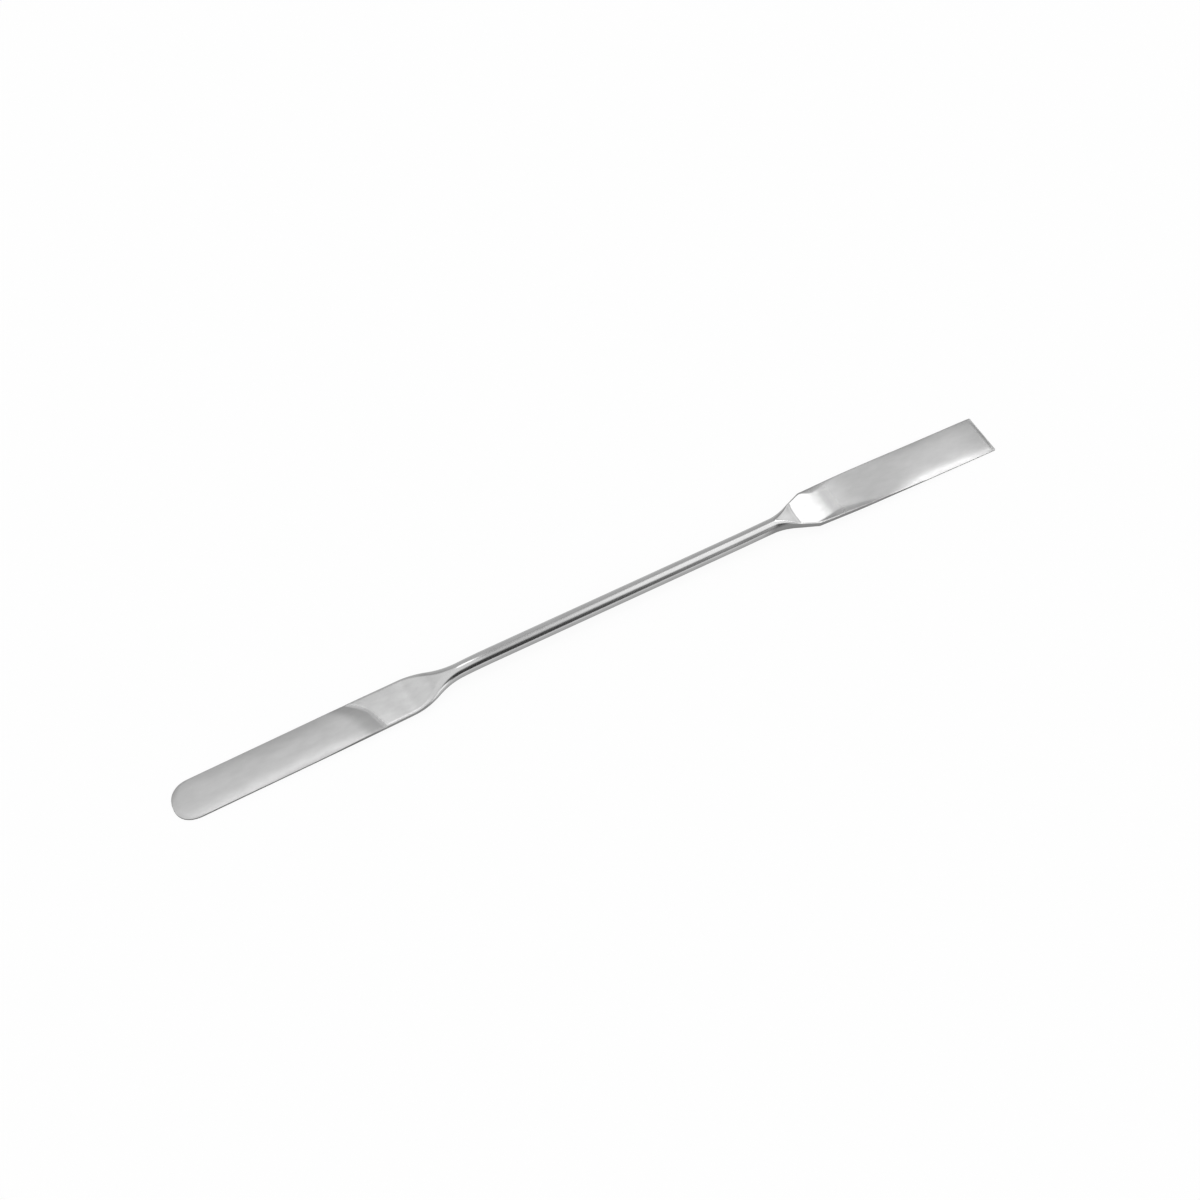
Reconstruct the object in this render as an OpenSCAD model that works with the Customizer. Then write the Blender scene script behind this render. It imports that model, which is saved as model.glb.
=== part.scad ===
// Double-ended laboratory spatula, forged and ground from one length of stainless steel wire.
// A round shank joins a blade with a rounded tip to a blade with a square tip. Both blades dip,
// so the spatula rests on the undersides of its tips, with the shank clear of the bench.
// X runs along the spatula towards the square tip, and Z is up.
// The origin is on the bench, halfway between the tips.

/* [Overall] */
// Length from tip to tip
total_l = 200; // [175:1:240]

/* [Shank] */
// Diameter of the round shank
shank_d = 3.35; // [2.8:0.05:4]
// Height of the shank's axis above the bench at the round blade's shoulder
shank_z_round = 2.65; // [2.2:0.05:4]
// Height of the shank's axis above the bench at the square blade's shoulder
shank_z_square = 2.15; // [2:0.05:4]

/* [Round-tipped blade] */
// Length from the tip to the root
round_l = 53.3; // [52:0.1:62]
// Width of the blade
round_w = 9.5; // [8:0.1:12]
// Width at the root
round_root_w = 9.25; // [7:0.05:12]
// Length over which the width changes towards the root
round_flare_l = 25; // [5:1:40]
// Length of the tip's rounded outline
round_tip_l = 5.2; // [3.5:0.1:8]
// Fullness of the tip's outline, where 2 is an ellipse
round_tip_fullness = 2.3; // [1.8:0.1:3.5]
// Thickness of the forged blade
round_t = 0.95; // [0.8:0.05:1.5]
// Thickness of the ground tip
round_tip_t = 0.6; // [0.3:0.05:0.75]
// Length of the ground faces
round_ground_l = 49; // [30:0.5:50]
// Width of the rounded flank along each edge of the forged blade
round_flank_w = 0.7; // [0.4:0.1:2.5]
// Height of the blade's middle plane above the bench at the root
round_root_z = 1.25; // [0.8:0.05:2.5]

/* [Round-tipped blade's shoulder] */
// Length over which the width narrows from the blade to the shank
round_shoulder_l = 13.2; // [8:0.1:20]
// Length over which the thickness grows from the blade to the shank
round_taper_l = 12.6; // [8:0.1:20]
// Length over which the middle of the section rises to the shank's axis
round_rise_l = 21.5; // [12:0.5:25]
// How far before the root that rise starts
round_rise_lead = 1.5; // [0:0.1:1.8]

/* [Square-tipped blade] */
// Length from the tip to the root
square_l = 46.4; // [46:0.2:56]
// Width of the blade
square_w = 10.5; // [8:0.1:13]
// Width at the root
square_root_w = 9.75; // [7:0.05:13]
// Length over which the width changes towards the root
square_flare_l = 14.5; // [5:0.5:35]
// Radius of the tip's two corners
square_corner_r = 0.3; // [0.1:0.05:2]
// Thickness of the forged blade
square_t = 0.85; // [0.7:0.05:1.5]
// Thickness of the ground tip
square_tip_t = 0.4; // [0.25:0.05:0.65]
// Length of the ground faces
square_ground_l = 42; // [25:0.5:42.5]
// Width of the rounded flank along each edge of the forged blade
square_flank_w = 0.6; // [0.4:0.1:3]
// Height of the blade's middle plane above the bench at the root
square_root_z = 2; // [1.2:0.05:2.5]
// How much the blade thickens towards its shoulder
square_swell = 0.55; // [0:0.05:0.9]
// Length over which it thickens
square_swell_l = 7.6; // [4:0.2:7.6]

/* [Square-tipped blade's shoulder] */
// Length over which the width narrows from the blade to the shank
square_shoulder_l = 10.1; // [7:0.1:20]
// How far past the root the thickness starts to grow to the shank's
square_taper_lag = 3.4; // [0:0.1:5]
// Length over which the thickness grows from the blade to the shank
square_taper_l = 5.9; // [4:0.1:15]
// Length over which the middle of the section rises to the shank's axis
square_rise_l = 22; // [12:0.5:25]
// How far before the root that rise starts
square_rise_lead = 1.5; // [0:0.1:2]

/* [Hidden] */

// The two ends of the spatula, as the sign of X there
ROUND = -1;
SQUARE = 1;

// Fullness of a section's flanks, on the round shank and on the forged blades
shank_fullness = 2;
blade_fullness = 3;

// Each change along the spatula is a straight ramp with rounded ends. These are the shares of a
// ramp's length that are rounded off: at a soft end, where the square-tipped blade's outline
// meets the shank, where it meets the blade, at the two ends of that shoulder's taper, and where
// the swelling starts.
soft = 0.5;
outline_by_shank = 0.48;
outline_by_blade = 0.05;
taper_by_shank = 0.1;
taper_by_blade = 0.3;
swell_start = 0.4;

// Half width of the narrowest flat along the crest of a section
crest_w = 0.01;
// Depth of the small flat that closes the rounded tip
nose_l = 0.03;
// How far the grinding runs out past the ground faces, and how far it clears the steel around them
run_out = 1;
clear_by = 3;
// How far the sections go on past the point where the middle has risen to the shank's axis
past_rise = 1;

// Steps from a section's side up to its crest, and along each stretch of a blade. Where the
// taper lags behind the root, there is a step for each lag_step of that stretch.
flank_steps = 11;
tip_steps = 10;
flare_steps = 9;
lag_step = 0.65;
shoulder_steps = 18;
tail_steps = 6;

function blade_l(end) = end == ROUND ? round_l : square_l;
function blade_w(end) = end == ROUND ? round_w : square_w;
function root_w(end) = end == ROUND ? round_root_w : square_root_w;
function flare_l(end) = end == ROUND ? round_flare_l : square_flare_l;
function tip_l(end) = end == ROUND ? round_tip_l : square_corner_r;
function tip_depth(end) = end == ROUND ? round_w / 2 : square_corner_r;
function tip_fullness(end) = end == ROUND ? round_tip_fullness : 2;
function forged_t(end) = end == ROUND ? round_t : square_t;
function tip_t(end) = end == ROUND ? round_tip_t : square_tip_t;
function ground_l(end) = end == ROUND ? round_ground_l : square_ground_l;
function flank_w(end) = end == ROUND ? round_flank_w : square_flank_w;
function root_z(end) = end == ROUND ? round_root_z : square_root_z;
function shank_z(end) = end == ROUND ? shank_z_round : shank_z_square;
function shoulder_l(end) = end == ROUND ? round_shoulder_l : square_shoulder_l;
function taper_l(end) = end == ROUND ? round_taper_l : square_taper_l;
function taper_lag(end) = end == ROUND ? 0 : square_taper_lag;
function rise_l(end) = end == ROUND ? round_rise_l : square_rise_l;
function rise_lead(end) = end == ROUND ? round_rise_lead : square_rise_lead;

function mix(a, b, u) = a + (b - a) * u;
function clamp(u) = min(max(u, 0), 1);

// Climbs from 0 to 1 with u: a straight ramp, rounded over a share k0 of its length where it
// starts and over a share k1 where it ends
function ramp(u, k0, k1) =
    let (v = clamp(u), slope = 1 / (1 - k0 / 2 - k1 / 2))
    v < k0 ? slope * v * v / (2 * k0)
    : v > 1 - k1 ? 1 - slope * (1 - v) * (1 - v) / (2 * k1)
    : slope * (v - k0 / 2);

// X at a distance s from the tip of one end
function along(end, s) = end * (total_l / 2 - s);

// Half the blade's width at s, with its rounded tip or corners
function blade_half_w(end, s) =
    let (
        widen = clamp(1 - (blade_l(end) - s) / flare_l(end)),
        into_tip = clamp(1 - max(s, nose_l) / tip_l(end)),
        full = tip_fullness(end)
    )
    mix(blade_w(end), root_w(end), widen * widen) / 2
    - tip_depth(end) * (1 - pow(1 - pow(into_tip, full), 1 / full));

// How much of the section at s is still blade, from 1 at the root to 0 on the shank
function width_share(end, s) =
    let (u = 1 - (s - blade_l(end)) / shoulder_l(end))
    end == ROUND ? ramp(u, soft, soft) : ramp(u, outline_by_shank, outline_by_blade);
function thickness_share(end, s) =
    let (u = 1 - (s - blade_l(end) - taper_lag(end)) / taper_l(end))
    end == ROUND ? ramp(u, soft, soft) : ramp(u, taper_by_shank, taper_by_blade);

// Thickness of the forged blade at s. The square-tipped one swells towards its shoulder, and the
// line of that swelling goes on into the taper.
function swell(u) =
    let (v = max(u, 0), slope = 1 / (1 - swell_start / 2))
    v < swell_start ? slope * v * v / (2 * swell_start) : slope * (v - swell_start / 2);
function blade_t(end, s) =
    let (to_taper = blade_l(end) + taper_lag(end) - s)
    end == ROUND ? round_t : square_t + square_swell * swell(1 - to_taper / square_swell_l);

// Height of the blade's straight middle plane, and of the shank's straight axis, at s
function blade_z(end, s) = mix(tip_t(end) / 2, root_z(end), s / blade_l(end));
function axis_z(end, s) =
    let (
        x_round = along(ROUND, round_l + round_shoulder_l),
        x_square = along(SQUARE, square_l + square_shoulder_l)
    )
    mix(shank_z_round, shank_z_square, (along(end, s) - x_round) / (x_square - x_round));
function middle_z(end, s) =
    let (share = ramp((s - blade_l(end) + rise_lead(end)) / rise_l(end), soft, soft))
    mix(blade_z(end, s), axis_z(end, s), share);

// Half the thickness of the ground blade at s
function ground_half_t(end, s) = mix(tip_t(end), forged_t(end), s / ground_l(end)) / 2;

// One closed cross-section: a flat on top and below, and a full flank at each side
function section(end, s) =
    let (
        share = thickness_share(end, s),
        half_w = mix(shank_d / 2, blade_half_w(end, s), width_share(end, s)),
        half_t = mix(shank_d, blade_t(end, s), share) / 2,
        flank = min(mix(shank_d / 2, flank_w(end), share), half_w - crest_w),
        power = 2 / mix(shank_fullness, blade_fullness, share),
        middle = middle_z(end, s)
    )
    [for (side = [1, -1], i = [-flank_steps:flank_steps])
        let (angle = side * i * 90 / flank_steps)
        [
            along(end, s),
            side * (half_w - flank + flank * pow(cos(angle), power)),
            middle + half_t * sign(angle) * pow(abs(sin(angle)), power)
        ]];

// Where one end's sections stand, from its tip to its last one on the straight shank
function stations(end) =
    let (
        root = blade_l(end),
        flare = root - flare_l(end),
        taper = root + taper_lag(end),
        lag_steps = ceil(taper_lag(end) / lag_step),
        shoulder = max(root + shoulder_l(end), taper + taper_l(end)),
        shank = max(shoulder, root - rise_lead(end) + rise_l(end)) + past_rise
    )
    concat(
        [for (i = [0:tip_steps]) tip_l(end) * (1 - cos(90 * i / tip_steps))],
        [for (i = [0:flare_steps - 1]) mix(flare, root, i / flare_steps)],
        [for (i = [0:1:lag_steps - 1]) mix(root, taper, i / lag_steps)],
        [for (i = [0:shoulder_steps - 1]) mix(taper, shoulder, i / shoulder_steps)],
        [for (i = [0:tail_steps]) mix(shoulder, shank, i / tail_steps)]
    );

// Skins a row of closed sections, all with the same number of points, and caps its two ends
module loft(sections) {
    n = len(sections[0]);
    last = len(sections) - 1;
    sides = [for (i = [0:last - 1], j = [0:n - 1])
        let (k = (j + 1) % n)
        each [
            [i * n + j, (i + 1) * n + k, i * n + k],
            [i * n + j, (i + 1) * n + j, (i + 1) * n + k]
        ]];
    caps = [
        [for (j = [0:n - 1]) j],
        [for (j = [n - 1:-1:0]) last * n + j]
    ];
    polyhedron(points = [for (s = sections) each s], faces = concat(sides, caps));
}

// The forging: the flattened blades, the shoulders and the round shank, before grinding
module forging() {
    to_square = stations(SQUARE);
    loft(concat(
        [for (s = stations(ROUND)) section(ROUND, s)],
        [for (i = [len(to_square) - 1:-1:0]) section(SQUARE, to_square[i])]
    ));
}

// The steel that grinding takes off one face of a blade: the upper one, or the lower one with
// face = -1
module ground_away(end, face) {
    reach = ground_l(end) + run_out;
    depth = max(round_w, square_w) / 2 + clear_by;
    function edge(s) = [along(end, s), blade_z(end, s) + face * ground_half_t(end, s)];
    rotate([90, 0, 0])
        linear_extrude(2 * depth, center = true)
            polygon([
                edge(-clear_by),
                edge(reach),
                edge(reach) + [0, face * clear_by],
                edge(-clear_by) + [0, face * clear_by]
            ]);
}

module spatula() {
    color([0.78, 0.78, 0.79])
        difference() {
            forging();
            for (end = [ROUND, SQUARE], face = [1, -1])
                ground_away(end, face);
        }
}

spatula();
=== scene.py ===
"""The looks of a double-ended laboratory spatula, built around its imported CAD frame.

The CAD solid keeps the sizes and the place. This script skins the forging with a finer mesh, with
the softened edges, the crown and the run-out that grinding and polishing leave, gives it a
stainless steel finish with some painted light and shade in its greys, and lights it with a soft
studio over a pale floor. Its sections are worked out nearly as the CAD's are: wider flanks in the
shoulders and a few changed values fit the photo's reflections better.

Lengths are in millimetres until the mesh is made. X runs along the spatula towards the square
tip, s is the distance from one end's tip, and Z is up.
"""

import math
from typing import NamedTuple

import bpy
import numpy as np
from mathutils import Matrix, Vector


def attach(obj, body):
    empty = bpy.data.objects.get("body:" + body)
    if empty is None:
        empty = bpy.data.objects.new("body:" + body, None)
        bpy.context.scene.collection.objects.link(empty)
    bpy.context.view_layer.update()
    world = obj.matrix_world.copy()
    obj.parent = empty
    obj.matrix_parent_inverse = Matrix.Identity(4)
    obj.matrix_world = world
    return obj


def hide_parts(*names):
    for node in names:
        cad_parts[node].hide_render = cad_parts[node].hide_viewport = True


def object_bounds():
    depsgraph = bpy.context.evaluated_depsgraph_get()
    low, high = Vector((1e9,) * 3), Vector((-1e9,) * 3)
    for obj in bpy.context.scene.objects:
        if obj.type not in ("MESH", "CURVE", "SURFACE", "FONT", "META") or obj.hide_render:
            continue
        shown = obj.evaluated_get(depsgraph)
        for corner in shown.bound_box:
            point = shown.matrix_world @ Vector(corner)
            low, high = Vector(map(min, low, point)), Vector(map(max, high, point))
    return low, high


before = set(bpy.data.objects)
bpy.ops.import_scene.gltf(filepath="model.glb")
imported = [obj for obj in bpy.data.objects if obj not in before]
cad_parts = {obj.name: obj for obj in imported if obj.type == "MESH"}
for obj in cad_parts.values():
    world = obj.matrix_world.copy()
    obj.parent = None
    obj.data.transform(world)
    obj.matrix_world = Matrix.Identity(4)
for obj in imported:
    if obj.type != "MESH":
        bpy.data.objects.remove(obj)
cad_lo, cad_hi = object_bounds()

MM = 0.001


# ---------------------------------------------------------------- sizes of the forging


class Blade(NamedTuple):
    """One end of the spatula, from its tip to its root and through its shoulder to the shank."""

    side: int  # sign of X at this end
    length: float
    width: float
    root_width: float
    flare_l: float  # the width changes over this length towards the root
    tip_l: float  # length of the tip's rounded outline
    tip_depth: float  # how far the tip's outline draws in from each side
    tip_fullness: float  # 2 draws the tip as a part of an ellipse, and more makes it squarer
    forged_t: float  # thickness before grinding
    tip_t: float
    ground_l: float  # the faces are ground over this length from the tip
    flank_w: float
    edge_soft: float  # softening of the edges that grinding leaves
    root_z: float  # height of the blade's middle at its root
    shank_z: float  # height of the shank's axis at this shoulder
    shoulder_l: float
    shank_ease: float  # share of the shoulder that is eased into the shank
    root_ease: float  # share of the shoulder that is eased into the blade
    taper_lag: float  # the shoulder's thickness starts to grow this far past the root
    taper_l: float
    thin_ease: float  # share of the taper that is eased into the blade
    thick_ease: float  # share of the taper that is eased into the shank
    swell: float  # how much the blade itself thickens up to where the taper starts
    swell_l: float  # and over which length
    taper_bow: float  # on the far side the taper starts earlier by this times y squared
    swell_bow: float  # and the swell by this
    rise_l: float  # the middle of the section climbs to the shank's axis over this length
    rise_lead: float  # and starts this far before the root
    crown: float  # how far the ground upper face falls from its middle to its near edge
    far_crown: float  # and to its far edge
    crown_from: float  # the crown fades in, coming from the root, between these two distances
    crown_to: float
    crown_tip: float  # and keeps this share of itself at the tip
    bevel: float  # how far the upper face falls towards the tip's outline
    bevel_l: float
    droop: float  # and how far it falls more gently over a longer stretch
    droop_l: float


TOTAL_L = (cad_hi.x - cad_lo.x) / MM
SHANK_D = 3.35
NOSE_L = 0.03  # the tip's outline is cut off this far from its end
CREST_W = 0.01  # least half width of the flat on top of a section
SHANK_FULLNESS = 2  # round flanks on the shank, and squarer ones on the blades
BLADE_FULLNESS = 3
EASE = 0.5  # share of the climb of the section's middle that is eased, at each end
SWELL_EASE = 0.45  # share of the swell that is eased into the blade

# These are the CAD's values, apart from flank_w of both blades, from swell, swell_l, taper_lag,
# taper_l and thin_ease of the square-tipped one, and from SWELL_EASE. The CAD has no bows, crowns,
# bevels, droop or softened edges.
ROUND = Blade(
    side=-1, length=53.3, width=9.5, root_width=9.25, flare_l=25,
    tip_l=5.2, tip_depth=4.75, tip_fullness=2.3,
    forged_t=0.95, tip_t=0.6, ground_l=49, flank_w=0.5, edge_soft=0.12,
    root_z=1.25, shank_z=2.65, shoulder_l=13.2, shank_ease=0.5, root_ease=0.5,
    taper_lag=0, taper_l=12.6, thin_ease=0.5, thick_ease=0.5,
    swell=0, swell_l=5, taper_bow=0, swell_bow=0,
    rise_l=21.5, rise_lead=1.5,
    crown=0.3, far_crown=0.2, crown_from=46, crown_to=32, crown_tip=0.4,
    bevel=0.05, bevel_l=1.1, droop=0, droop_l=5,
)
SQUARE = Blade(
    side=1, length=46.4, width=10.5, root_width=9.75, flare_l=14.5,
    tip_l=0.3, tip_depth=0.3, tip_fullness=2,
    forged_t=0.85, tip_t=0.4, ground_l=42, flank_w=0.3, edge_soft=0.06,
    root_z=2, shank_z=2.15, shoulder_l=10.1, shank_ease=0.48, root_ease=0.05,
    taper_lag=3.8, taper_l=5.6, thin_ease=0.15, thick_ease=0.1,
    swell=0.6, swell_l=9, taper_bow=0.055, swell_bow=0.03,
    rise_l=22, rise_lead=1.5,
    crown=0.3, far_crown=0.14, crown_from=30, crown_to=17, crown_tip=0.6,
    bevel=0.15, bevel_l=0.8, droop=0.05, droop_l=5,
)

# The round tip leans: its outline is turned a little about this Y, less and less along SKEW_L
SKEW = 0.1
SKEW_Y = -0.42
SKEW_L = 9
# Softening of the edges of the two tips' ends, and of the shank's top where its flanks start
NOSE_SOFT = 0.04
SHANK_SOFT = 0.02
# How late the upper face falls towards its near and far edges
NEAR_POWER = 4
FAR_POWER = 3
# How the grinding of the upper face runs up into the swell: its curve, and its reach
RUN_UP = 0.009
RUN_UP_L = 4
# Least height of a face over the middle of its section
THINNEST = 0.04
# The softening of an edge takes at most this share of its height and of its distance from the middle
SOFT_SHARE = 0.4

# The grinding of the round-tipped blade ends in a shallow hollow, along a line that slants and
# curves across the blade
RUN_OUT_X = -54.75
RUN_OUT_SLANT = -0.27
RUN_OUT_BOW = -0.125
RUN_OUT_L = 4.5
RUN_OUT_DEPTH = 0.14
RUN_OUT_STEP = 0.25
RUN_OUT_SOFT = 0.7  # half the width over which the finish changes there
RUN_OUT_LEAD = 0.4  # and how far before the line, on the root's side, it is half changed
RUN_OUT_FULL = 0.5  # share of the hollow's length, from the line, over which its finish is full

# By the root of the square-tipped blade a strip along each edge leans towards the far side: the
# near one climbs to its edge and the far one falls to its edge. Each starts, is widest, and has
# run out at these distances from the tip.
NEAR_STRIP = (50.9, 40, 27)
FAR_STRIP = (48.5, 44, 35)
NEAR_STRIP_W = 2.4
FAR_STRIP_W = 2.1
NEAR_SLOPE = 0.115
FAR_SLOPE = 0.07
STRIP_EASE = 0.8

# Crown of the round-tipped blade by its root: its height, its middle from the tip, its reach
ROOT_CROWN = 0.036
ROOT_CROWN_S = 45
ROOT_CROWN_L = 9

# Share of a flank that lies outside the edge of its face where no grinding cuts the flank
EDGE_SHARE = 0.7
# Quads from the crest to the edge, round the edge, and from the edge to the middle of a flank
FACE_STEPS = 16
EDGE_STEPS = 4
FLANK_STEPS = 10
# Spacing of the rings of the mesh along the blades and along the shank, and their number round
# a tip's outline
BLADE_STEP = 0.28
SHANK_STEP = 3.0
TIP_RINGS = 20
HALVINGS = 30  # steps of the search for the edge of a ground face


# ---------------------------------------------------------------- form of the forging


def mix(a, b, u):
    return a + (b - a) * u


def clamp(u):
    return min(max(u, 0.0), 1.0)


def smooth(u):
    """Climbs from 0 to 1 with level ends."""
    u = clamp(u)
    return u * u * (3 - 2 * u)


def ramp(u, ease_in, ease_out):
    """Climbs from 0 to 1: a straight ramp, rounded over these shares of its length at its ends."""
    v = clamp(u)
    slope = 1 / (1 - ease_in / 2 - ease_out / 2)
    if v < ease_in:
        return slope * v * v / (2 * ease_in)
    if v > 1 - ease_out:
        return 1 - slope * (1 - v) ** 2 / (2 * ease_out)
    return slope * (v - ease_in / 2)


def climb(u, ease_in):
    """Climbs from 0, through 1 where u is 1, and goes on straight from there."""
    slope = 1 / (1 - ease_in / 2)
    v = max(u, 0.0)
    return slope * v * v / (2 * ease_in) if v < ease_in else slope * (v - ease_in / 2)


def along(blade, s):
    """X at a distance s from the tip."""
    return blade.side * (TOTAL_L / 2 - s)


def blade_half_w(blade, s):
    """Half the width of the blade, drawn in at its tip."""
    widen = clamp(1 - (blade.length - s) / blade.flare_l)
    into_tip = clamp(1 - max(s, NOSE_L) / blade.tip_l)
    drawn_in = 1 - (1 - into_tip**blade.tip_fullness) ** (1 / blade.tip_fullness)
    return mix(blade.width, blade.root_width, widen**2) / 2 - blade.tip_depth * drawn_in


def blade_z(blade, s):
    """Height of the blade's middle over the bench."""
    return mix(blade.tip_t / 2, blade.root_z, s / blade.length)


def axis_z(x):
    """Height of the shank's straight axis."""
    x_round = along(ROUND, ROUND.length + ROUND.shoulder_l)
    x_square = along(SQUARE, SQUARE.length + SQUARE.shoulder_l)
    return mix(ROUND.shank_z, SQUARE.shank_z, (x - x_round) / (x_square - x_round))


def ground_half_t(blade, s):
    """Half the thickness that is left between the two ground planes."""
    return mix(blade.tip_t, blade.forged_t, s / blade.ground_l) / 2


def blade_t(blade, s):
    """Thickness of the forged blade, which may swell where it nears the shoulder."""
    to_taper = blade.length + blade.taper_lag - s
    return blade.forged_t + blade.swell * climb(1 - to_taper / blade.swell_l, SWELL_EASE)


def blade_share(blade, s):
    """How much of the section's thickness is still the blade's: 1 up to the taper."""
    past = s - blade.length - blade.taper_lag
    return ramp(1 - past / blade.taper_l, blade.thick_ease, blade.thin_ease)


def half_thickness(blade, s, far_y=0.0):
    """Half the thickness of the forging, some way from the middle towards the far edge."""
    swollen = blade_t(blade, s + blade.swell_bow * far_y**2)
    share = blade_share(blade, s + blade.taper_bow * far_y**2)
    return mix(SHANK_D, swollen, share) / 2


class Section(NamedTuple):
    """A cross-section of the forging: a flat on top and below, and a full flank at each side."""

    half_w: float
    half_t: float
    flank: float
    fullness: float
    middle: float
    share: float  # 1 on the blade and 0 on the shank


def section_at(blade, s):
    """The forged section at a distance s from the tip."""
    past_root = s - blade.length
    share = blade_share(blade, s)
    narrowing = ramp(1 - past_root / blade.shoulder_l, blade.shank_ease, blade.root_ease)
    rise = ramp((past_root + blade.rise_lead) / blade.rise_l, EASE, EASE)
    half_w = mix(SHANK_D / 2, blade_half_w(blade, s), narrowing)
    return Section(
        half_w=half_w,
        half_t=half_thickness(blade, s),
        flank=min(mix(half_w, blade.flank_w, share), half_w - CREST_W),
        fullness=mix(SHANK_FULLNESS, BLADE_FULLNESS, share),
        middle=mix(blade_z(blade, s), axis_z(along(blade, s)), rise),
        share=share,
    )


def forged_rise(section, y):
    """Height of the forged surface above the section's middle at y."""
    into_flank = clamp((abs(y) - (section.half_w - section.flank)) / section.flank)
    return section.half_t * (1 - into_flank**section.fullness) ** (1 / section.fullness)


def ground_rise(blade, s, y, section, face):
    """Height of the ground upper (face 1) or lower (face -1) surface over the section's middle."""
    end = blade.ground_l + (RUN_UP_L if face > 0 else 0)
    if s >= end:
        return math.inf
    plane = face * (blade_z(blade, s) - section.middle) + ground_half_t(blade, s)
    if face < 0:
        return plane
    past = max(s + blade.swell_bow * max(y, 0) ** 2 - blade.ground_l, 0)
    return plane + RUN_UP * past**2 - crown_fall(blade, s, y, section) - bevel_fall(blade, s, y)


def crown_fall(blade, s, y, section):
    """Fall of the ground upper face towards its two edges."""
    fade = smooth((blade.crown_from - s) / (blade.crown_from - blade.crown_to))
    share = fade * mix(blade.crown_tip, 1, smooth(s / blade.crown_to))
    if y < 0:
        return blade.crown * share * abs(y / section.half_w) ** NEAR_POWER
    return blade.far_crown * share * abs(y / section.half_w) ** FAR_POWER


def bevel_fall(blade, s, y):
    """Fall of the upper face over its last stretch before the tip's outline."""
    inset = tip_inset(blade, s, y)
    droop = blade.droop * clamp(1 - inset / blade.droop_l) ** 2
    return droop + blade.bevel * clamp(1 - inset / blade.bevel_l)


def tip_inset(blade, s, y):
    """About how far a point lies inside the tip's outline, along the blade."""
    for_y = clamp(1 - (blade.width / 2 - abs(y)) / blade.tip_depth)
    outline = blade.tip_l * (1 - (1 - for_y**blade.tip_fullness) ** (1 / blade.tip_fullness))
    return s - outline if s < blade.tip_l + blade.droop_l else math.inf


def run_out_line(y):
    """X of the line where the grinding of the round-tipped blade ends."""
    return RUN_OUT_X + RUN_OUT_SLANT * y + RUN_OUT_BOW * max(y, 0) ** 2


def hollow_fall(blade, s, y):
    """Depth of the hollow in which the grinding of the round-tipped blade ends."""
    if blade.side == SQUARE.side:
        return 0.0
    before = run_out_line(y) - along(blade, s)
    if before > RUN_OUT_L:
        return 0.0
    return RUN_OUT_DEPTH * smooth(1 + before / RUN_OUT_STEP) * (1 - max(before, 0) / RUN_OUT_L) ** 2


def strip_climb(s, strip, width, inset):
    """Climb per unit of slope of a strip along an edge, at this inset from the edge."""
    start, widest, end = strip
    share = min(clamp((start - s) / (start - widest)), clamp((s - end) / (widest - end)))
    depth = max(width * share - inset, 0)
    eased = min(depth, STRIP_EASE)
    return eased**2 / STRIP_EASE / 2 + depth - eased


def strips_rise(blade, s, y, section):
    """Height that the two strips by the root of the square-tipped blade add or take away."""
    if blade.side == ROUND.side:
        return 0.0
    near = NEAR_SLOPE * strip_climb(s, NEAR_STRIP, NEAR_STRIP_W, section.half_w + y)
    return near - FAR_SLOPE * strip_climb(s, FAR_STRIP, FAR_STRIP_W, section.half_w - y)


def root_fall(blade, s, y, section):
    """Fall of the upper face to both edges of the round-tipped blade by its root."""
    if blade.side == SQUARE.side:
        return 0.0
    off = abs(s - ROOT_CROWN_S) / ROOT_CROWN_L
    return ROOT_CROWN * (y / section.half_w) ** 2 * smooth(1 - off)


def hammered_rise(blade, s, y, section, face):
    """Height of the forged surface over the section's middle. On top the swell and the taper
    start along bowed lines, so the face is a little higher by its far edge."""
    rise = forged_rise(section, y)
    if face < 0 or blade.taper_bow == 0 or section.share == 0:
        return rise
    far_y = min(max(y, 0.0), section.half_w - section.flank)
    return rise + half_thickness(blade, s, far_y) - section.half_t


def surface_rise(blade, s, y, section, face):
    """Height of the finished surface over the section's middle: forged, then ground."""
    hammered = hammered_rise(blade, s, y, section, face)
    rise = min(hammered, ground_rise(blade, s, y, section, face))
    if face > 0:
        rise += strips_rise(blade, s, y, section)
        rise -= hollow_fall(blade, s, y) + root_fall(blade, s, y, section)
    return max(rise, THINNEST)


def edge_of_face(blade, s, section, face):
    """Y where the upper or lower face turns into the flank: where the grinding cuts the flank, found
    by halving, but never closer to the middle than where the forged flank turns."""
    low, high = section.half_w - EDGE_SHARE * section.flank, section.half_w
    if hammered_rise(blade, s, low, section, face) <= ground_rise(blade, s, low, section, face):
        return low
    for _ in range(HALVINGS):
        y = (low + high) / 2
        if hammered_rise(blade, s, y, section, face) > ground_rise(blade, s, y, section, face):
            low = y
        else:
            high = y
    return low


def flank_point(section, angle, stretch):
    """A point of a flank, which is this much taller than forged where its face is raised."""
    power = 2 / section.fullness
    y = section.half_w - section.flank * (1 - math.cos(angle) ** power)
    return y, stretch * section.half_t * math.sin(angle) ** power


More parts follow.
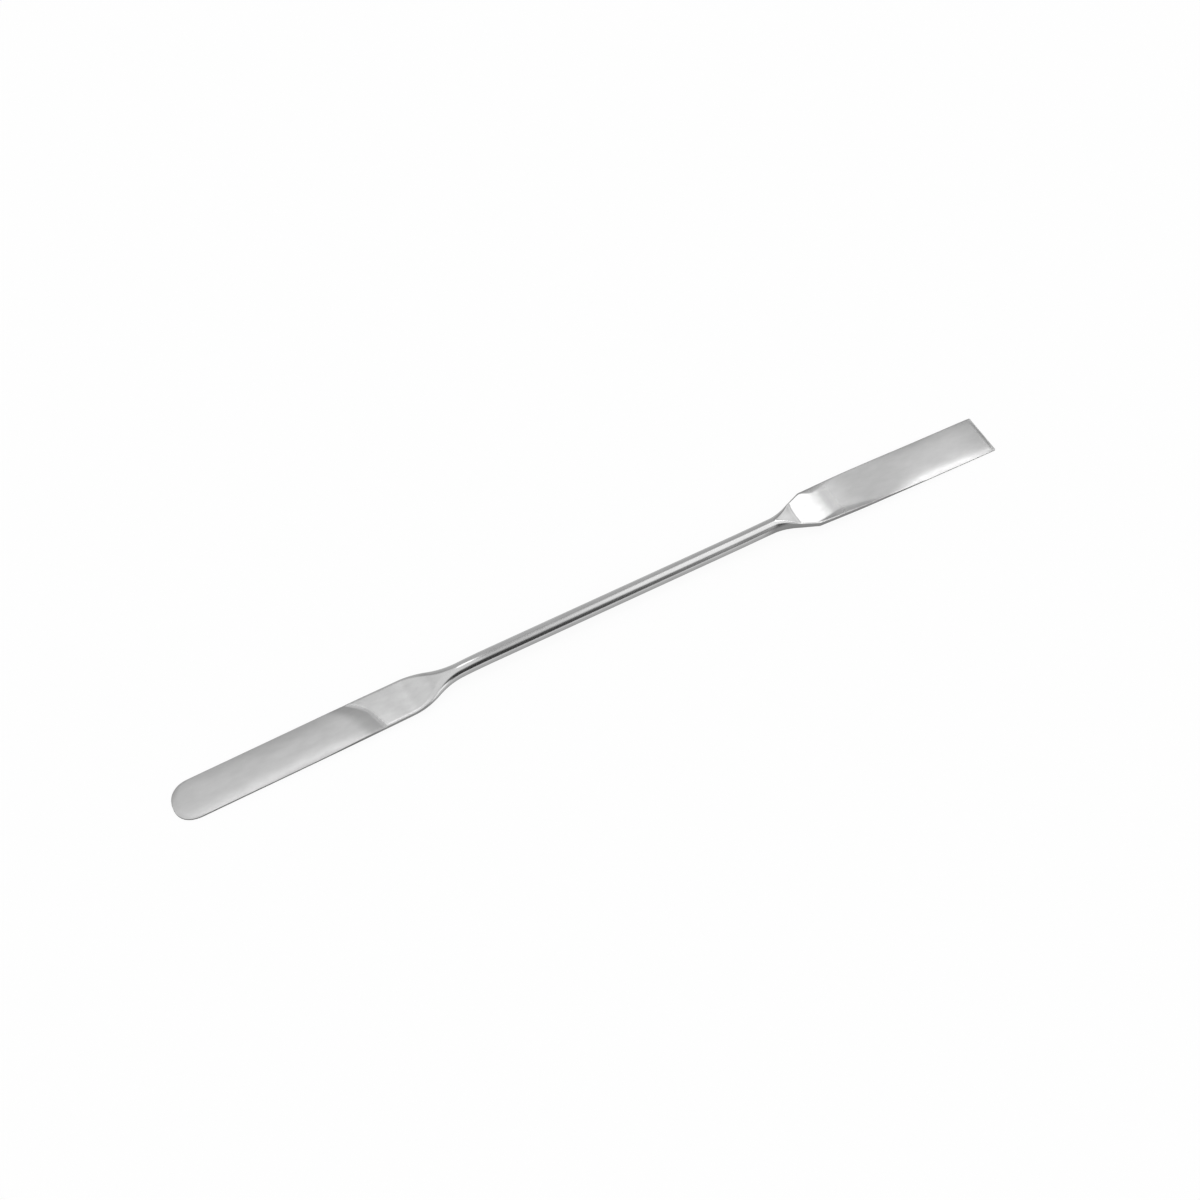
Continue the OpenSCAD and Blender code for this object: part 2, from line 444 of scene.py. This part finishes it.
def quarter(blade, s, section, face, far):
    """Points from the middle of a face, over its softened edge, to the middle of the far
    (far 1) or near (far -1) flank."""
    edge_y = edge_of_face(blade, s, section, face)
    edge_z = surface_rise(blade, s, far * edge_y, section, face)
    soft = mix(SHANK_SOFT, blade.edge_soft, section.share)
    soft = min(soft, SOFT_SHARE * edge_z, SOFT_SHARE * edge_y)
    start_y = edge_y - soft
    points = []
    for i in range(FACE_STEPS):
        y = start_y * i / FACE_STEPS
        points.append((y, surface_rise(blade, s, far * y, section, face)))
    stretch = max(edge_z / forged_rise(section, edge_y), 1.0)
    end_z = (edge_z - soft) / stretch
    end_angle = math.asin(min((end_z / section.half_t), 1.0) ** (section.fullness / 2))
    corner = [
        (start_y, surface_rise(blade, s, far * start_y, section, face)),
        (edge_y, edge_z),
        flank_point(section, end_angle, stretch),
    ]
    for i in range(EDGE_STEPS):
        u = i / EDGE_STEPS
        weights = ((1 - u) ** 2, 2 * u * (1 - u), u * u)
        points.append(tuple(sum(w * p[k] for w, p in zip(weights, corner)) for k in (0, 1)))
    for i in range(FLANK_STEPS):
        points.append(flank_point(section, end_angle * (1 - i / FLANK_STEPS), stretch))
    return [(far * y, face * z) for y, z in points]


def ring(blade, s):
    """One closed ring of points round the spatula, from the near flank over the top."""
    section = section_at(blade, s)
    outline = [(-section.half_w, 0.0)]
    outline += reversed(quarter(blade, s, section, 1, -1))
    outline += quarter(blade, s, section, 1, 1)[1:]
    outline += [(section.half_w, 0.0)]
    outline += reversed(quarter(blade, s, section, -1, 1))
    outline += quarter(blade, s, section, -1, -1)[1:]
    keep = nose_share(blade, s)
    return [(skewed_x(blade, s, y), y, section.middle + keep * z) for y, z in outline]


def skewed_x(blade, s, y):
    """X of a point, with the lean of the round tip."""
    if blade.side == SQUARE.side:
        return along(blade, s)
    return along(blade, s) + SKEW * (y - SKEW_Y) * smooth(1 - s / SKEW_L)


def nose_share(blade, s):
    """Share of the thickness that is left near the tip, whose edges are rounded."""
    into_nose = clamp(1 - s / NOSE_SOFT)
    cut = NOSE_SOFT * (1 - math.sqrt(1 - into_nose**2))
    return 1 - cut / (blade.tip_t / 2)


def stations(blade):
    """Distances of the rings from one tip, up to where the straight shank starts."""
    end = blade.length - blade.rise_lead + blade.rise_l
    tip = [blade.tip_l * (1 - math.cos(math.pi / 2 * i / TIP_RINGS)) for i in range(TIP_RINGS)]
    count = math.ceil((end - blade.tip_l) / BLADE_STEP)
    return tip + [mix(blade.tip_l, end, i / count) for i in range(count + 1)]


def forging_mesh(name):
    """The spatula's whole skin, kept inside the box of its CAD solid."""
    rings = [ring(ROUND, s) for s in stations(ROUND)]
    start, end = rings[-1][0][0], along(SQUARE, stations(SQUARE)[-1])
    count = math.ceil((end - start) / SHANK_STEP)
    for i in range(1, count):
        x = mix(start, end, i / count)
        rings.append(ring(SQUARE, TOTAL_L / 2 - x))
    rings += [ring(SQUARE, s) for s in reversed(stations(SQUARE))]
    points = np.array(rings) * MM
    points = np.clip(points, cad_lo, cad_hi)
    n = points.shape[1]
    last = len(rings) - 1
    faces = [
        (i * n + j, (i + 1) * n + j, (i + 1) * n + (j + 1) % n, i * n + (j + 1) % n)
        for i in range(last)
        for j in range(n)
    ]
    faces.append(tuple(range(n)))
    faces.append(tuple(last * n + j for j in reversed(range(n))))
    mesh = bpy.data.meshes.new(name)
    mesh.from_pydata(points.reshape(-1, 3).tolist(), [], faces)
    mesh.shade_smooth()
    mesh.update()
    return mesh


# ---------------------------------------------------------------- node helpers


def wire(tree, socket, value):
    """Feeds a socket from another socket, or from a number."""
    if isinstance(value, bpy.types.NodeSocket):
        tree.links.new(value, socket)
    else:
        socket.default_value = value


def calc(tree, operation, *values):
    node = tree.nodes.new("ShaderNodeMath")
    node.operation = operation
    for socket, value in zip(node.inputs, values):
        wire(tree, socket, value)
    return node.outputs[0]


def fade(tree, value, start, end):
    """Climbs smoothly from 0 where the value is start to 1 where it is end."""
    node = tree.nodes.new("ShaderNodeMapRange")
    node.interpolation_type = "SMOOTHSTEP"
    for name, entry in (("Value", value), ("From Min", start), ("From Max", end)):
        wire(tree, node.inputs[name], entry)
    return node.outputs["Result"]


def blend(tree, share, start, end):
    node = tree.nodes.new("ShaderNodeMix")
    wire(tree, node.inputs[0], share)
    wire(tree, node.inputs[2], start)
    wire(tree, node.inputs[3], end)
    return node.outputs[0]


def grain(tree, place, stretch, detail):
    """Noise from 0 to 1 over a place in millimetres, with these scales along X, Y and Z."""
    scaled = tree.nodes.new("ShaderNodeVectorMath")
    scaled.operation = "MULTIPLY"
    tree.links.new(place, scaled.inputs[0])
    scaled.inputs[1].default_value = stretch
    noise = tree.nodes.new("ShaderNodeTexNoise")
    noise.inputs["Scale"].default_value = 1
    noise.inputs["Detail"].default_value = detail
    tree.links.new(scaled.outputs[0], noise.inputs["Vector"])
    return noise.outputs["Fac"]


# ---------------------------------------------------------------- finish, and painted light and shade

# The greys were set while comparing tones with the photo's, so they hold some of its light and shade
# as paint: painted light and shade in the steps along the square-tipped blade, in the hollow where
# the grinding ends, and on the low faces and narrow sides. Real steel is hardly this dark on its
# narrow sides.
STEEL_GREY = 0.55
ROOT_GREY = 0.58  # the round-tipped blade's root is brightest
GROUND_GREY = 0.52
# Where the grey of the square-tipped blade starts to change along X, where the change is complete,
# and the new grey, which is painted light and shade: lighter by the shoulder, then darker, lighter
# again, and darker towards the tip
SQUARE_PAINTED_GREYS = [
    (0, 54, 0.58),
    (58, 67, 0.445),
    (74, 82, 0.485),
    (91, 99, 0.40),
]
LOW_PAINTED_SHADE = 0.39  # painted shade, darker on the shank's sides and on what faces the bench
SIDE_PAINTED_SHADE = 0.15  # and darkest on the narrow sides of the blades, a painted shade, where it changes in the same way
SIDE_PAINTED_SHADES = [
    (-62, -52, 0.26),
    (66, 82, 0.15),
]
RUN_OUT_PAINTED_SHADE = 0.41  # painted shade, darker in the hollow where the grinding ends
STEEL_RIM = 0.6  # tint of the glancing reflection
MOTTLE = 0.11
SCRATCH_SHINE = 0.05

SHANK_ROUGHNESS = 0.13
ROOT_ROUGHNESS = 0.22
GROUND_ROUGHNESS = 0.3
SIDE_ROUGHNESS = 0.35
ROUGHNESS_SPREAD = 0.04

# Along X: where the polish of the shank gives way to the round-tipped blade's root, which is also
# where the finish of the narrow sides starts, the same distance out at both ends, and where the
# finish of the square-tipped blade's ground face starts and is full
POLISH_TO_X = -40
ROOT_FROM_X = -44
GROUND_FROM_X = 54
GROUND_FULL_X = 62
# Height of the normal at which a surface starts to count as low, and is low altogether, and then
# the same for the narrow sides of the blades
LOW_FROM = 0.5
LOW_FULL = 0.2
SIDE_FROM = 0.85
SIDE_FULL = 0.5

# Scales per millimetre of the noise along X, Y and Z, and its detail
BRUSHING = (0.7, 12, 12)
BRUSHING_DETAIL = 3
BLOTCHES = (0.3, 0.7, 0.7)
BLOTCHES_DETAIL = 4
SCRATCHES = (0.12, 7, 7)
SCRATCHES_DETAIL = 2
SCRATCH_FROM = 0.66
SCRATCH_FULL = 0.74
BUMP_STRENGTH = 0.06
BUMP_DEPTH = 0.02


def steel_material():
    material = bpy.data.materials.new("stainless_steel")
    material.use_nodes = True
    tree = material.node_tree
    shader = tree.nodes["Principled BSDF"]
    shader.inputs["Metallic"].default_value = 1
    shader.inputs["Specular Tint"].default_value = (STEEL_RIM, STEEL_RIM, STEEL_RIM, 1)
    place, x, y, facing_up = surface_place(tree)
    before = calc(tree, "SUBTRACT", run_out_line_nodes(tree, y), x)
    root = fade(tree, x, POLISH_TO_X, ROOT_FROM_X)
    on_blade = fade(tree, calc(tree, "ABSOLUTE", x), -POLISH_TO_X, -ROOT_FROM_X)
    side = calc(tree, "MULTIPLY", on_blade, fade(tree, facing_up, SIDE_FROM, SIDE_FULL))
    ground = ground_share(tree, x, before)
    brushing = grain(tree, place, BRUSHING, BRUSHING_DETAIL)

    roughness = blend(tree, root, SHANK_ROUGHNESS, ROOT_ROUGHNESS)
    roughness = blend(tree, ground, roughness, GROUND_ROUGHNESS)
    roughness = blend(tree, side, roughness, SIDE_ROUGHNESS)
    spread = calc(tree, "MULTIPLY_ADD", brushing, 2 * ROUGHNESS_SPREAD, -ROUGHNESS_SPREAD)
    wire(tree, shader.inputs["Roughness"], calc(tree, "ADD", roughness, spread))

    grey = blend(tree, root, STEEL_GREY, ROOT_GREY)
    # Painted light and shade: the grey of the square-tipped blade steps lighter and darker along X.
    grey = blend(tree, ground, grey, stepped(tree, x, GROUND_GREY, SQUARE_PAINTED_GREYS))
    # Painted shade: darker in the hollow where the grinding of the round-tipped blade ends.
    grey = blend(tree, run_out_share(tree, before), grey, RUN_OUT_PAINTED_SHADE)
    # Painted shade: darker where the surface faces sideways or down.
    grey = blend(tree, fade(tree, facing_up, LOW_FROM, LOW_FULL), grey, LOW_PAINTED_SHADE)
    # Painted shade on the narrow sides of the blades, changing along X.
    grey = blend(tree, side, grey, stepped(tree, x, SIDE_PAINTED_SHADE, SIDE_PAINTED_SHADES))
    grey = calc(tree, "MULTIPLY", grey, wear(tree, place, ground))
    colour = tree.nodes.new("ShaderNodeCombineColor")
    for socket in colour.inputs[:3]:
        tree.links.new(grey, socket)
    tree.links.new(colour.outputs[0], shader.inputs["Base Color"])

    bump = tree.nodes.new("ShaderNodeBump")
    bump.inputs["Strength"].default_value = BUMP_STRENGTH
    bump.inputs["Distance"].default_value = BUMP_DEPTH * MM
    tree.links.new(brushing, bump.inputs["Height"])
    tree.links.new(bump.outputs[0], shader.inputs["Normal"])
    return material


def surface_place(tree):
    """A surface point in millimetres, its X and Y, and how far it faces upwards, from -1 to 1."""
    coordinates = tree.nodes.new("ShaderNodeTexCoord")
    scaled = tree.nodes.new("ShaderNodeVectorMath")
    scaled.operation = "SCALE"
    tree.links.new(coordinates.outputs["Object"], scaled.inputs[0])
    scaled.inputs["Scale"].default_value = 1 / MM
    split = tree.nodes.new("ShaderNodeSeparateXYZ")
    tree.links.new(scaled.outputs[0], split.inputs[0])
    facing = tree.nodes.new("ShaderNodeSeparateXYZ")
    tree.links.new(coordinates.outputs["Normal"], facing.inputs[0])
    return scaled.outputs[0], split.outputs[0], split.outputs[1], facing.outputs[2]


def ground_share(tree, x, before):
    """Where the two blades have the satin finish of grinding, from 0 to 1."""
    round_blade = run_out_starts(tree, before)
    square_blade = fade(tree, x, GROUND_FROM_X, GROUND_FULL_X)
    return calc(tree, "MAXIMUM", round_blade, square_blade)


def stepped(tree, x, grey, steps):
    """A grey that changes along X at each step."""
    for start, full, next_grey in steps:
        grey = blend(tree, fade(tree, x, start, full), grey, next_grey)
    return grey


def run_out_share(tree, before):
    """The hollow band in which the grinding of the round-tipped blade ends, from 0 to 1."""
    ends = fade(tree, before, RUN_OUT_L + RUN_OUT_SOFT, RUN_OUT_L * RUN_OUT_FULL)
    return calc(tree, "MULTIPLY", run_out_starts(tree, before), ends)


def run_out_starts(tree, before):
    """Climbs from 0 to 1 as the grinding of the round-tipped blade starts."""
    return fade(tree, before, -RUN_OUT_LEAD - RUN_OUT_SOFT, -RUN_OUT_LEAD + RUN_OUT_SOFT)


def wear(tree, place, ground):
    """Factor near 1 for the blotches, and for the fine scratches of the ground faces."""
    blotches = grain(tree, place, BLOTCHES, BLOTCHES_DETAIL)
    lines = grain(tree, place, SCRATCHES, SCRATCHES_DETAIL)
    scratches = fade(tree, lines, SCRATCH_FROM, SCRATCH_FULL)
    spots = calc(tree, "MULTIPLY_ADD", blotches, 2 * MOTTLE, 1 - MOTTLE)
    return calc(tree, "MULTIPLY_ADD", calc(tree, "MULTIPLY", scratches, ground), SCRATCH_SHINE, spots)


def run_out_line_nodes(tree, y):
    """X of the run-out line, as a function of y."""
    far = calc(tree, "MAXIMUM", y, 0)
    bow = calc(tree, "MULTIPLY", calc(tree, "MULTIPLY", far, far), RUN_OUT_BOW)
    return calc(tree, "ADD", calc(tree, "MULTIPLY_ADD", y, RUN_OUT_SLANT, RUN_OUT_X), bow)


# ---------------------------------------------------------------- studio


# Degrees, and millimetres from the spatula's middle
CAMERA_AZIMUTH = -29.53
CAMERA_ELEVATION = 54.56
CAMERA_DISTANCE = 550
CAMERA_TARGET = (1.83, 2.66, 0)
LENS = 76.26  # focal length for Blender's own sensor width
FLOOR_SIZE = 12.0  # metres
FLOOR_GREY = 0.95
FLOOR_WHITE = 0.92  # share of plain white that the camera and the metal see


def look_direction(azimuth, elevation):
    """Unit vector from the spatula towards that side. Azimuth 0 is on the -Y side."""
    a, e = math.radians(azimuth), math.radians(elevation)
    return Vector((math.sin(a) * math.cos(e), -math.cos(a) * math.cos(e), math.sin(e)))


def make_camera():
    data = bpy.data.cameras.new("camera")
    data.lens = LENS
    camera = bpy.data.objects.new("camera", data)
    bpy.context.scene.collection.objects.link(camera)
    back = look_direction(CAMERA_AZIMUTH, CAMERA_ELEVATION)
    camera.location = (Vector(CAMERA_TARGET) + back * CAMERA_DISTANCE) * MM
    camera.rotation_euler = (-back).to_track_quat("-Z", "Y").to_euler()
    bpy.context.scene.camera = camera


def make_floor():
    half = FLOOR_SIZE / 2
    mesh = bpy.data.meshes.new("floor")
    corners = [(-half, -half, 0), (half, -half, 0), (half, half, 0), (-half, half, 0)]
    mesh.from_pydata(corners, [], [(0, 1, 2, 3)])
    floor = bpy.data.objects.new("floor", mesh)
    floor.location.z = cad_lo.z
    bpy.context.scene.collection.objects.link(floor)
    floor.data.materials.append(floor_material())


def floor_material():
    """Pale paper that takes a shadow, and is mostly plain white to the camera and in metal."""
    material = bpy.data.materials.new("floor")
    material.use_nodes = True
    tree = material.node_tree
    tree.nodes.clear()
    paper = tree.nodes.new("ShaderNodeBsdfDiffuse")
    paper.inputs["Color"].default_value = (FLOOR_GREY, FLOOR_GREY, FLOOR_GREY, 1)
    white = tree.nodes.new("ShaderNodeEmission")
    path = tree.nodes.new("ShaderNodeLightPath")
    seen = calc(tree, "MAXIMUM", path.outputs["Is Camera Ray"], path.outputs["Is Glossy Ray"])
    seen = calc(tree, "MAXIMUM", seen, path.outputs["Is Transmission Ray"])
    mixed = tree.nodes.new("ShaderNodeMixShader")
    tree.links.new(calc(tree, "MULTIPLY", seen, FLOOR_WHITE), mixed.inputs[0])
    tree.links.new(paper.outputs[0], mixed.inputs[1])
    tree.links.new(white.outputs[0], mixed.inputs[2])
    out = tree.nodes.new("ShaderNodeOutputMaterial")
    tree.links.new(mixed.outputs[0], out.inputs["Surface"])
    return material


class Card(NamedTuple):
    """A soft-edged patch of the studio. Turn is the angle round the X axis in degrees, 0 being
    the far side, 90 overhead and 180 the near side. Slant is the X of the direction to it."""

    turn: float
    slant: float
    half_turn: float
    half_slant: float
    softness: float  # share of the half sizes over which the patch fades
    level: float


# The studio's level between its cards. This level and most of the cards started as a least-squares
# fit, by a helper script, of the reflections to the tones of the photo, rounded. Three cards marked
# "as fitted" stayed so, two marked "added" were added after it, and the rest were then changed.
STUDIO_LEVEL = 0.45
CARDS = [
    Card(90, -0.90, 90, 0.40, 0.30, 1.45),  # broad light past the round tip, added
    Card(118, -0.13, 70, 0.37, 0.15, 1.06),  # broad overhead light, as fitted
    Card(96, 0.355, 34, 0.075, 0.27, 1.55),  # overhead strip towards the square tip
    Card(56, 0.50, 6, 0.05, 0.30, 2.15),  # small strong light high on the far side, towards the square tip
    Card(70.5, 0.135, 13.5, 0.055, 0.36, 3.4),  # small light high on the far side, near the middle
    Card(86, 0.14, 9, 0.05, 0.5, 1.2),  # dimmer gap above the small light, added
    Card(14, 0.19, 50, 0.22, 0.42, 0.68),  # paler wall on the far side, as fitted
    Card(72.5, 0.51, 6, 0.10, 0.38, 5.4),  # narrow strip light above the small strong light
    Card(45, 0.65, 18, 0.07, 0.60, 1.25),  # small light low in the far corner
    Card(153, 0.50, 24, 0.13, 0.48, 1.61),  # light on the near side, past the middle, as fitted
    Card(156, 0.20, 30, 0.15, 0.42, 0.05),  # dark opening on the near side
]


def card_share(tree, card, turn, slant):
    """How much of the light in a direction comes from a card, from 0 to 1."""
    off = calc(tree, "WRAP", calc(tree, "SUBTRACT", turn, card.turn), 180, -180)
    turned = calc(tree, "DIVIDE", off, card.half_turn)
    slanted = calc(tree, "DIVIDE", calc(tree, "SUBTRACT", slant, card.slant), card.half_slant)
    squares = [calc(tree, "MULTIPLY", part, part) for part in (turned, slanted)]
    reach = calc(tree, "SQRT", calc(tree, "ADD", *squares))
    return fade(tree, reach, 1 + card.softness, 1 - card.softness)


def make_world():
    world = bpy.data.worlds.new("studio")
    bpy.context.scene.world = world
    world.use_nodes = True
    tree = world.node_tree
    direction = tree.nodes.new("ShaderNodeTexCoord").outputs["Generated"]
    split = tree.nodes.new("ShaderNodeSeparateXYZ")
    tree.links.new(direction, split.inputs[0])
    slant, far, up = split.outputs
    turn = calc(tree, "DEGREES", calc(tree, "ARCTAN2", up, far))
    level = STUDIO_LEVEL
    for card in CARDS:
        level = blend(tree, card_share(tree, card, turn, slant), level, card.level)
    tree.links.new(level, tree.nodes["Background"].inputs["Strength"])
    tree.nodes["Background"].inputs["Color"].default_value = (1, 1, 1, 1)


# ---------------------------------------------------------------- the model


def main():
    spatula = bpy.data.objects.new("spatula_skin", forging_mesh("spatula_skin"))
    bpy.context.scene.collection.objects.link(spatula)
    spatula.data.materials.append(steel_material())
    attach(spatula, "root")
    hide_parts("spatula")
    make_camera()
    make_floor()
    make_world()
    bpy.context.scene.view_settings.view_transform = "Standard"


main()
